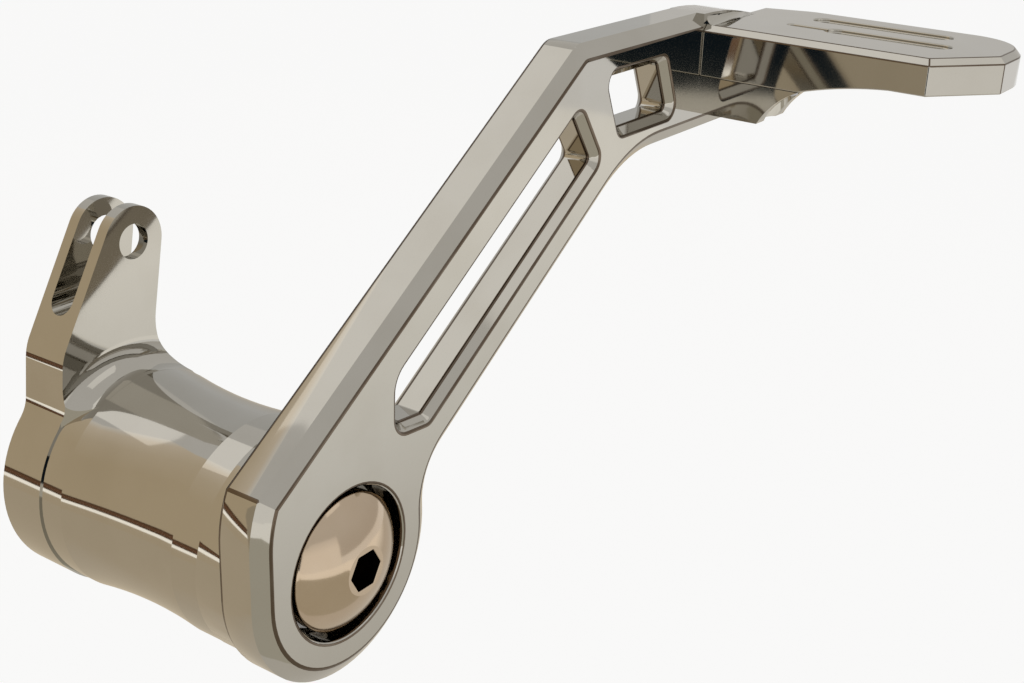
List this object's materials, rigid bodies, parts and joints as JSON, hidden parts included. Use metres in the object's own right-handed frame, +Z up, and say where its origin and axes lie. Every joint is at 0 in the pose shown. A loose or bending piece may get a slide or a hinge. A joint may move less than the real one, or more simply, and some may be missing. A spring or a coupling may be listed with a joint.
{
  "type": "rear brake pedal",
  "caption": "Cranked motorbike rear brake pedal with a windowed arm, a grooved foot pad and a round pivot barrel that carries a forked lever for the brake rod.",
  "frame": {"origin": "on the pivot axis, in the plane of the bike's mounting face, where the bolt's shoulder ends", "axes": "+X forwards along the bike, +Z up, +Y along the pivot bolt into the bike; the pad stands out along -Y"},
  "size_m": [0.2014, 0.1703, 0.1219],
  "materials": {
    "arm_chrome": "polished chrome",
    "barrel_chrome": "polished chrome",
    "pad_chrome": "polished chrome",
    "bolt_nickel": "polished nickel",
    "screw_steel": "plain steel",
    "bush_bronze": "plain bronze",
    "seal_rubber": "matt"
  },
  "bodies": {
    "pivot": {"pivot_bolt": "bolt_nickel", "thrust_washer": "screw_steel"},
    "pedal": {"brake_arm": "arm_chrome", "pivot_barrel": "barrel_chrome", "foot_pad": "pad_chrome", "pad_screws": "screw_steel", "outer_bush": "bush_bronze", "inner_bush": "bush_bronze", "outer_seal": "seal_rubber", "inner_seal": "seal_rubber", "arm_screws": "screw_steel", "arm_dowels": "screw_steel"}
  },
  "joints": [
    {"name": "pedal_pivot", "type": "hinge", "parent": "pivot", "child": "pedal", "pos_m": [0, 0, 0], "axis": [0, 1, 0], "range_deg": [0, 15], "stiffness_Nm_per_rad": 4, "springref_deg": -34.38}
  ]
}
